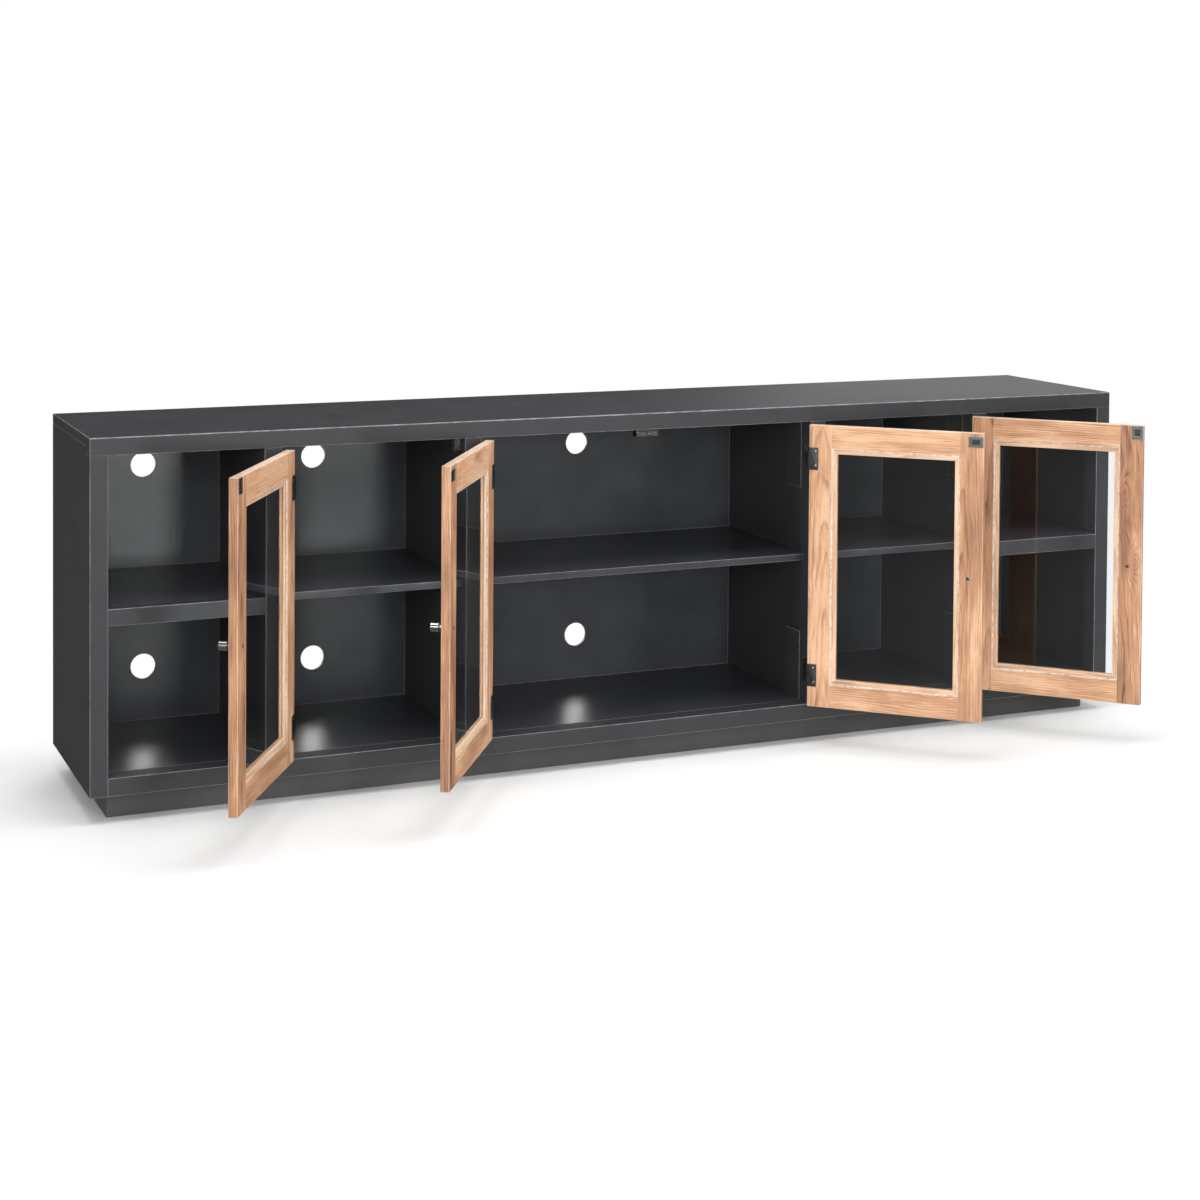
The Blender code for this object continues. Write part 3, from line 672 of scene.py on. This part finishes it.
def make_joint_lines():
    """Thin strips of lacquer in the back's joints with the panels, shelves and floor of every bay, much paler
    than the lacquer: a painted sheen along the joints.
    """
    back, width, ease = limits("back_panel")[0][1], JOINT_LINE, JOINT_LINE * 0.45
    middles = sorted(sum(limits(f"divider_{number}"))[0] / 2 for number in range(1, 5))
    lefts = [limits("side_left")[0][0] + PANEL_T] + [x + PANEL_T / 2 for x in middles]
    rights = [x - PANEL_T / 2 for x in middles] + [limits("side_right")[1][0] - PANEL_T]
    floor = limits("bottom_panel")[1][2]
    shells = []
    for number, (left, right) in enumerate(zip(lefts, rights), 1):
        for foot, head in ((floor, shelf_under(number)), (limits(f"shelf_{number}")[1][2], POST_HIGH[2])):
            for x in (left, right - width):
                upright = rectangle((x, back - width), (x + width, back), ease)
                shells.append(along_z(upright, foot, head, ends=SQUARE))
            level = rectangle((back - width, foot), (back, foot + width), ease)
            shells.append(along_x(level, left, right, ends=SQUARE))
    add_piece("joint_lines_in_the_back", "case", LACQUER_LINE_PAINTED_SHEEN, shells)


def make_catches():
    """A dark housing with bright magnet faces. The double catch has an ear and a screw at either end."""
    def add_housing(low, high, x0, x1):
        outline = rectangle((low[2], x0), (high[2], x1), CATCH_EASE)
        housing.append(along_y(outline, low[1] + MAGNET_PROUD, high[1], ends=(CATCH_FRONT_EASE, 0.0)))

    def add_magnet(front, z, half_high, x0, x1):
        outline = rectangle((z - half_high, x0), (z + half_high, x1), MAGNET_EASE)
        bright.append(along_y(outline, front, front + MAGNET_DEEP, ends=(MAGNET_FRONT_EASE, 0.0)))

    housing, bright = [], []
    half_high, half_wide = 0.0105, 0.004  # of a single catch's magnet
    for name in ("catch_left", "catch_right"):
        low, high = limits(name)
        middle = (low + high) / 2
        add_housing(low, high, low[0], high[0])
        add_magnet(low[1], middle[2], half_high, middle[0] - half_wide, middle[0] + half_wide)
    low, high = limits("catch_double")
    middle, body_x, ear_z = (low + high) / 2, high[0] - EAR_W, high[2] - EAR_T
    add_housing(low, high, -body_x, body_x)
    half_high, near, margin, drop = 0.0045, 0.0022, 0.003, 0.002  # of the double catch's two magnets
    for side in (-1, 1):
        x0, x1 = sorted((side * near, side * (body_x - margin)))
        add_magnet(low[1], middle[2] - drop, half_high, x0, x1)
        x0, x1 = sorted((side * body_x, side * high[0]))
        ear = rectangle((x0, low[1] + EAR_SETBACK), (x1, high[1] - EAR_SETBACK), EAR_CORNER)
        housing.append(along_z(ear, ear_z, high[2], ends=(PLATE_EASE, 0.0)))
        at = (side * (body_x + high[0]) / 2, middle[1], ear_z)
        bright.append(placed(screw_head(radius=0.0034, rise=0.0012), at, X, -Y, -Z))
    add_piece("catch_housings", "case", DARK_STEEL, housing, ["catch_left", "catch_right", "catch_double"],
              "dark_steel")
    add_piece("catch_magnets", "case", NICKEL, bright, (), "brushed_nickel")


# ----------------------------------------
# Doors

class Door:
    """A door's own axes: u from its pin to its free edge, v back into the case when it is shut, w up.

    Its edges, frame widths and depths are read from its parts.
    """

    def __init__(self, joint):
        self.body, self.tag = joint["child"], joint["child"][-1]
        turn = joint["axis"][2]
        self.pin = np.array([*joint["pos_m"][:2], 0.0])
        angle = math.radians(-joint["range_deg"][0]) * turn
        cos, sin = math.cos(angle), math.sin(angle)
        self.shut = (-turn * X, Y, Z)
        self.open = (-turn * (cos * X + sin * Y), cos * Y - sin * X, Z)
        hinge_low, hinge_high = self.box(f"door_{self.tag}_stile_hinge")
        glass_low, glass_high = self.box(f"door_{self.tag}_glass")
        self.near, self.far = hinge_low[0], self.box(f"door_{self.tag}_stile_free")[1][0]
        self.face, self.back = hinge_low[1], hinge_high[1]
        self.lip, self.pane = glass_low[1] - GAP, glass_high[1]
        self.foot, self.head = hinge_low[2], hinge_high[2]
        self.width = self.box(f"door_{self.tag}_rail_bottom")[0][0] - GAP - self.near
        self.sight = hinge_high[0] - self.near

    def box(self, node):
        """The node's lowest and highest corner in the door's own axes."""
        mesh = frame["nodes"][node].data
        points = np.empty(len(mesh.vertices) * 3)
        mesh.vertices.foreach_get("co", points)
        local = (points.reshape(-1, 3) - self.pin) @ np.array(self.open).T
        return local.min(0), local.max(0)

    def along_u(self, *given, **more):
        u, v, w = self.open
        return placed(board(*given, **more), self.pin, v, w, u)

    def along_v(self, *given, **more):
        u, v, w = self.open
        return placed(board(*given, **more), self.pin, u, w, v)

    def along_w(self, *given, **more):
        return placed(board(*given, **more), self.pin, *self.open)

    def facing(self, shell, at, outward=1):
        """A shell at (u, v, w) whose third axis points out of the door's inner face, or its front (-1)."""
        u, v, w = self.open
        return placed(shell, self.pin + np.array(at) @ np.array(self.open), u, w, outward * v)

    def add(self, name, material, shells, *more):
        add_piece(f"door_{self.tag}_{name}", self.body, material, shells, *more)


def make_door_frame(door):
    """Stiles with a lip in front of the glass, and rails let in between them."""
    # Each frame part's top is painted paler, a highlight standing for light from above.
    def add_wood(name, shells):
        d.add(f"{name}_wood", WALNUT, [top_painted_highlight(shell, d.head) for shell in shells], [f"door_{d.tag}_{name}"],
              "walnut")

    d, e = door, WOOD_EASE
    tones = dict(zip(("stile_hinge", "stile_free", "rail_bottom", "rail_top"), BOARD_TONES[d.tag]))
    hinge = [(d.near, d.face, e), (d.near + d.sight, d.face, e), (d.near + d.sight, d.lip, 0.0),
             (d.near + d.width, d.lip, 0.0), (d.near + d.width, d.back, e), (d.near, d.back, e)]
    free = [(d.far - d.sight, d.face, e), (d.far, d.face, e), (d.far, d.back, e),
            (d.far - d.width, d.back, e), (d.far - d.width, d.lip, 0.0), (d.far - d.sight, d.lip, 0.0)]
    for name, section in (("stile_hinge", hinge), ("stile_free", free)):
        sample = grain_sample(tones[name])
        add_wood(name, [d.along_w(section, d.foot, d.head, ends=(WOOD_END_EASE,) * 2, sample=sample)])
    for name, low, high, low_back, high_back in (
            ("rail_bottom", d.foot, d.foot + d.sight, d.foot, d.foot + d.width),
            ("rail_top", d.head - d.sight, d.head, d.head - d.width, d.head)):
        more = {"ends": SQUARE, "sample": grain_sample(tones[name])}
        front = rectangle((d.face, low), (d.lip, high), (e, 0.0, 0.0, e))
        rear = rectangle((d.lip, low_back), (d.back, high_back), (0.0, e, e, 0.0))
        add_wood(name, [d.along_u(front, d.near + d.sight, d.far - d.sight, **more),
                        d.along_u(rear, d.near + d.width, d.far - d.width, **more)])


def rebate_sides(door):
    """The rebate's four sides: start corner (u, w), direction along it, direction in to the glass, length."""
    u0, u1 = door.near + door.width, door.far - door.width
    w0, w1 = door.foot + door.width, door.head - door.width
    return (((u0, w0), (1, 0), (0, 1), u1 - u0), ((u1, w0), (0, 1), (-1, 0), w1 - w0),
            ((u1, w1), (-1, 0), (0, -1), u1 - u0), ((u0, w1), (0, -1), (1, 0), w1 - w0))


def make_beads(door):
    """Mitred glazing beads behind the glass, bedded in a hand-run line of sealant."""
    u_axis, v_axis, w_axis = door.open
    width, foot, top = door.sight - door.width, door.pane + GAP, door.back - BEAD_SETBACK
    section = [(BEAD_CLEAR, foot, 0.0), (width, foot, 0.0), (width, top, BEAD_EASE),
               (BEAD_CLEAR, top, BEAD_EASE * 0.4)]
    beads, lines = [], []
    aside, proud = SEALANT_R * 0.8, SEALANT_R * 0.25
    for number, ((u, w), along, inward, length) in enumerate(rebate_sides(door)):
        origin = door.pin + u * u_axis + w * w_axis
        run = along[0] * u_axis + along[1] * w_axis
        into = inward[0] * u_axis + inward[1] * w_axis
        bead = board(section, 0.0, length, ends=SQUARE, mitre=(1.0, -1.0))
        beads.append(placed(bead, origin, into, v_axis, run))
        line = sealant_run(length - 2 * SEALANT_R, SEALANT_R, seed=31 * ord(door.tag) + number)
        start = origin + run * SEALANT_R + into * aside + v_axis * (top + proud)
        lines.append(placed(line, start, into, v_axis, run))
    door.add("glazing_beads", WALNUT_BEAD, beads, (), "walnut")
    door.add("sealant", SEALANT, lines)


def make_knob(door):
    """A turned knob on the front: foot, stem and cylindrical head with eased rims. Its screw shows inside."""
    low, high = door.box(f"door_{door.tag}_knob")
    u, w = (low[0] + high[0]) / 2, (low[2] + high[2]) / 2
    reach, head_r = high[1] - low[1], (high[0] - low[0]) / 2
    stem_r, foot_r, head_foot, rim = head_r * 0.44, head_r * 0.67, reach * 0.37, head_r * 0.11
    turn = np.linspace(0, np.pi / 2, 5)
    lower = np.column_stack([head_r - rim + rim * np.sin(turn), head_foot + rim - rim * np.cos(turn)])
    upper = np.column_stack([head_r - rim + rim * np.cos(turn), reach - rim + rim * np.sin(turn)])
    profile = [(foot_r, 0.0), (foot_r, 0.0012), (foot_r - 0.0004, 0.0016), (stem_r + 0.0006, 0.0019),
               (stem_r, 0.0026), (stem_r, head_foot - 0.0003), (stem_r + 0.0003, head_foot), *lower, *upper,
               (head_r * 0.55, reach), (head_r * 0.5, reach - 0.0002), (head_r * 0.05, reach - 0.0003)]
    knob = door.facing(turned(profile, 64), (u, high[1], w), outward=-1)
    door.add("turned_knob", NICKEL, [knob], [f"door_{door.tag}_knob"], "brushed_nickel")
    screw = door.facing(screw_head(radius=0.0041, rise=0.0021, slot=0.13), (u, door.back, w))
    door.add("knob_screw", STRIKE_STEEL, [screw])


def knuckle(radius, start, end):
    rim = radius * 0.12
    return turned([(radius - rim, start), (radius, start + rim), (radius, end - rim), (radius - rim, end)])


def notched_leaf(knuckles, root, clear, tip, foot, head, corner):
    """A leaf's outline, across from its pin and up: in to root at its own knuckles, else to clear."""
    path = [(clear, foot)]
    for start, end in knuckles:
        path += [(clear, start), (root, start), (root, end), (clear, end)]
    path.append((clear, head))
    inner = [point for point, before in zip(path, [None, *path]) if point != before]
    return [(*point, 0.0) for point in inner[::-1]] + [(tip, foot, corner), (tip, head, corner)]


def make_hinges(door):
    """Inset hinges: a leaf on the post, and a leaf that wraps from the door's edge onto its inner face."""
    name = f"hinge_{door.tag}"
    fixed, moving = ([f"{name}_{place}_{half}" for place in ("lower", "upper")] for half in ("fixed", "door"))
    post_leaves, door_leaves, post_screws, door_screws = [], [], [], []
    u, v, w = door.shut
    eased = {"ends": (LEAF_EASE,) * 2}
    for fixed_half, moving_half in zip(fixed, moving):
        low, high = limits(fixed_half)
        door_high = door.box(moving_half)[1]
        foot, head, radius = low[2], high[2], door.pin[1] - low[1]
        third, middle, clear = (head - foot) / 3, (foot + head) / 2, radius + LEAF_ROOM
        fixed_knuckles = (foot, foot + third), (head - third, head)
        outline = notched_leaf(fixed_knuckles, radius - LEAF_BITE, clear, high[1] - door.pin[1], foot, head,
                               LEAF_CORNER)
        post_leaves.append(placed(board(outline, -LEAF_FAR, -LEAF_NEAR, **eased), door.pin, v, w, u))
        for start, end in fixed_knuckles:
            post_leaves.append(placed(knuckle(radius, start, end), door.pin, u, v, w))
        for tip, sign in ((foot, -1), (head, 1)):
            cap = turned([(radius * 0.55, -0.0002), (radius * 0.55, 0.0004), (radius * 0.4, 0.0008),
                          (radius * 0.1, 0.001)], 24)
            post_leaves.append(placed(cap, door.pin + tip * Z, X, sign * Y, sign * Z))
        for sign in (-1, 1):
            at = door.pin - LEAF_NEAR * u + POST_SCREW_BACK * v + (middle + sign * SCREW_SPREAD) * w
            post_screws.append(placed(screw_head(SCREW_R, POST_SCREW_RISE), at, v, w, u))
        moving_knuckle = foot + third + GAP, head - third - GAP
        door_leaves.append(placed(knuckle(radius, *moving_knuckle), door.pin, *door.open))
        inner, outer = door.back + GAP, door_high[1]
        edge = notched_leaf([moving_knuckle], radius * LEAF_ROOT, clear, (inner + outer) / 2, foot, head, 0.0)
        door_leaves.append(door.along_u(edge, LEAF_NEAR, LEAF_FAR, **eased))
        face = rectangle((LEAF_NEAR, foot), (door_high[0], head), (0.0, LEAF_CORNER, LEAF_CORNER, 0.0))
        door_leaves.append(door.along_v(face, inner, outer, **eased))
        for sign in (-1, 1):
            at = door.near + LEAF_SCREW_IN, outer, middle + sign * SCREW_SPREAD
            door_screws.append(door.facing(screw_head(SCREW_R, SCREW_RISE), at))
    add_piece(f"{name}_post_leaves", "case", DARK_STEEL, post_leaves, fixed, "dark_steel")
    add_piece(f"{name}_door_leaves", door.body, DARK_STEEL, door_leaves, moving, "dark_steel")
    add_piece(f"{name}_post_screws", "case", SCREW_STEEL, post_screws)
    add_piece(f"{name}_door_screws", door.body, SCREW_STEEL, door_screws)


def make_strike(door):
    """The steel plate that the catch holds, high on the free stile's inner face: a rim and a sunk middle."""
    double = door.tag in "bc"  # the pair of doors that shares the double catch
    wide, tall, below_head = (0.032, 0.022, 0.0085) if double else (0.024, 0.030, 0.0015)
    from_edge, corner = 0.0008, 0.0006
    top, right = door.head - below_head, door.far - from_edge
    foot, left = top - tall, right - wide
    rim_u, rim_w, pip_u = wide * 0.22, tall * 0.24, wide * 0.38
    u, w = (left + right) / 2, top - tall / 2

    def plate(u0, u1, w0, w1, height=PLATE_RISE, ease=0.0):
        outline = rectangle((u0, w0), (u1, w1), ease)
        return door.along_v(outline, door.back, door.back + height, ends=(0.0, PLATE_EASE))

    rim = [plate(left, left + rim_u, foot, top, ease=corner),
           plate(right - rim_u, right, foot, top, ease=corner),
           plate(left + rim_u, right - rim_u, top - rim_w, top),
           plate(left + rim_u, right - rim_u, foot, foot + rim_w)]
    pip = [(0.0011, -0.0003), (0.0011, 0.0002), (0.0003, 0.0004)]
    pips = [door.facing(turned(pip, 12), (u + sign * pip_u, door.back + PLATE_RISE, w))
            for sign in (-1, 1)]
    door.add("strike_plate", STRIKE_STEEL, rim + pips, (), "dark_steel")
    sunk = plate(left + rim_u, right - rim_u, foot + rim_w, top - rim_w, PLATE_MIDDLE_RISE)
    screw = door.facing(screw_head(radius=0.0026, rise=0.0005), (u, door.back + PLATE_MIDDLE_RISE, w))
    door.add("strike_middle", DARK_STEEL, [sunk, screw])


def make_doors():
    for joint in frame["joints"]:
        door = Door(joint)
        make_door_frame(door)
        make_beads(door)
        make_knob(door)
        make_hinges(door)
        make_strike(door)
        paint(f"door_{door.tag}_glass", GLASS)


def paint(node, material):
    """Gives a part of the frame that keeps its own mesh its only material."""
    frame["nodes"][node].data.materials.clear()
    frame["nodes"][node].data.materials.append(material)


# ----------------------------------------
# Studio

LAMPS = (  # name, place, target, width and height, watts
    ("key", (-3.1, -4.4, 1.75), (0.2, 0, 0.40), (2.4, 1.6), 78),
    ("fill", (3.7, -4.0, 2.6), (-0.2, 0, 0.40), (2.4, 1.2), 46),
    ("overhead", (0.0, -0.7, 3.4), (0, -0.1, 0), (4.2, 1.6), 88),
    ("front_low", (0.10, -4.7, 0.32), (-0.9, 0.2, 0.46), (0.5, 0.5), 32),
    ("front_high", (0.25, -4.7, 1.42), (-0.8, 0.2, 0.46), (0.9, 0.5), 32),
    ("behind_holes", (0.35, 1.15, 0.50), (0.35, 0, 0.40), (2.8, 0.36), 19),
    ("back_right", (4.7, 4.2, 1.5), (0.8, 0.2, 0.76), (4.0, 1.6), 52),
)


def area_light(name, place, target, size, power):
    """A rectangular lamp. One that stands behind the cabinet isn't seen through its glass."""
    data = bpy.data.lights.new(name, "AREA")
    data.shape, data.size, data.size_y = "RECTANGLE", *size
    data.energy = power
    light = new_object(name, data)
    light.location = place
    light.visible_camera = False
    light.visible_transmission = place[1] < CAD_HIGH.y
    light.rotation_euler = (Vector(target) - Vector(place)).to_track_quat("-Z", "Y").to_euler()


def background_light(g, ambient, dimmed):
    """Whether a ray sees the white background directly or in a reflection, and how bright it is for that ray.

    The camera sees it white, through glass too, and a reflection sees it dimmed. Other rays get the level of
    ambient light. A ray that has bounced before it leaves the glass counts as a reflection.
    """
    path = g.add("LightPath").outputs
    bounced = g.math("ADD", path["Glossy Depth"], path["Diffuse Depth"])
    through = g.math("MULTIPLY", path["Is Transmission Ray"], g.math("LESS_THAN", bounced, 0.5))
    direct = g.math("MAXIMUM", path["Is Camera Ray"], through)
    reflected = g.math("MULTIPLY", path["Is Glossy Ray"], g.math("SUBTRACT", 1.0, direct))
    level = g.math("MULTIPLY_ADD", direct, 1.0 - ambient, ambient)
    level = g.math("MULTIPLY_ADD", reflected, dimmed - ambient, level)
    return direct, reflected, level


def make_world(ambient):
    world = bpy.data.worlds.new("studio")
    bpy.context.scene.world = world
    world.use_nodes = True
    g = Graph(world.node_tree)
    background = world.node_tree.nodes["Background"]
    background.inputs["Color"].default_value = (1.0, 1.0, 1.0, 1)
    level = background_light(g, ambient, REFLECTED_WORLD)[2]
    world.node_tree.links.new(level, background.inputs["Strength"])


def make_floor(size=14.0, fade=0.4):
    """A pale floor with the cabinet's shadow, which fades into the white background away from the case."""
    mesh = bpy.data.meshes.new("studio_floor")
    half = size / 2
    corners = [(-half, -half, 0), (half, -half, 0), (half, half, 0), (-half, half, 0)]
    mesh.from_pydata(corners, [], [(0, 1, 2, 3)])
    floor = new_object("studio_floor", mesh)
    material, g, shader = new_material("studio_floor")
    feed(g, shader, Base_Color=(0.93, 0.93, 0.93, 1), Roughness=0.9, Specular_IOR_Level=0.1)
    middle, case_half = (CAD_LOW + CAD_HIGH) / 2, (CAD_HIGH - CAD_LOW) / 2
    place = g.vector("SUBTRACT", g.add("TexCoord").outputs["Object"], (middle.x, middle.y, 0))
    outside = g.vector("SUBTRACT", g.vector("ABSOLUTE", place, (0, 0, 0)), (case_half.x, case_half.y, 0))
    distance = g.vector("LENGTH", g.vector("MAXIMUM", outside, (0, 0, 0)), (0, 0, 0))
    away = g.between(distance, 0.0, fade)
    direct, reflected, level = background_light(g, 1.0, REFLECTED_FLOOR)
    white = g.add("Emission", {"Color": (1, 1, 1, 1), "Strength": level})
    g.surface(g.math("MAXIMUM", g.math("MULTIPLY", away, direct), reflected), shader, white)
    mesh.materials.append(material)


def make_camera():
    """It stands to the left of the cabinet's front, nearly level, with its frame shifted down to it."""
    yaw, pitch, roll = math.radians(23.5), math.radians(1.67), math.radians(0.4)
    forward = Vector((math.sin(yaw) * math.cos(pitch), math.cos(yaw) * math.cos(pitch), -math.sin(pitch)))
    level = Vector((math.cos(yaw), -math.sin(yaw), 0))
    above = level.cross(forward)
    right = math.cos(roll) * level + math.sin(roll) * above
    up = math.cos(roll) * above - math.sin(roll) * level
    data = bpy.data.cameras.new("camera")
    data.sensor_width, data.lens, data.shift_y = 36.0, 65.1, -0.319
    camera = new_object("camera", data)
    camera.matrix_world = Matrix.Translation((-1.975, -4.468, 1.322)) @ Matrix(
        (right, up, -forward)).transposed().to_4x4()
    bpy.context.scene.camera = camera


def make_studio():
    make_camera()
    make_floor()
    make_world(ambient=0.52)
    for lamp in LAMPS:
        area_light(*lamp)


make_studio()
make_top_and_bottom()
make_sides()
make_dividers()
make_shelves()
make_joint_lines()
make_catches()
make_doors()
# The back panel's lacquer is painted lighter, for the shade it stands in.
paint("back_panel", LACQUER_BACK_PAINTED_LIGHTER)
# The plinth's lacquer is painted lighter, for the shade under the case.
paint("plinth", LACQUER_PLINTH_PAINTED_LIGHTER)

bpy.context.scene.view_settings.view_transform = "Standard"
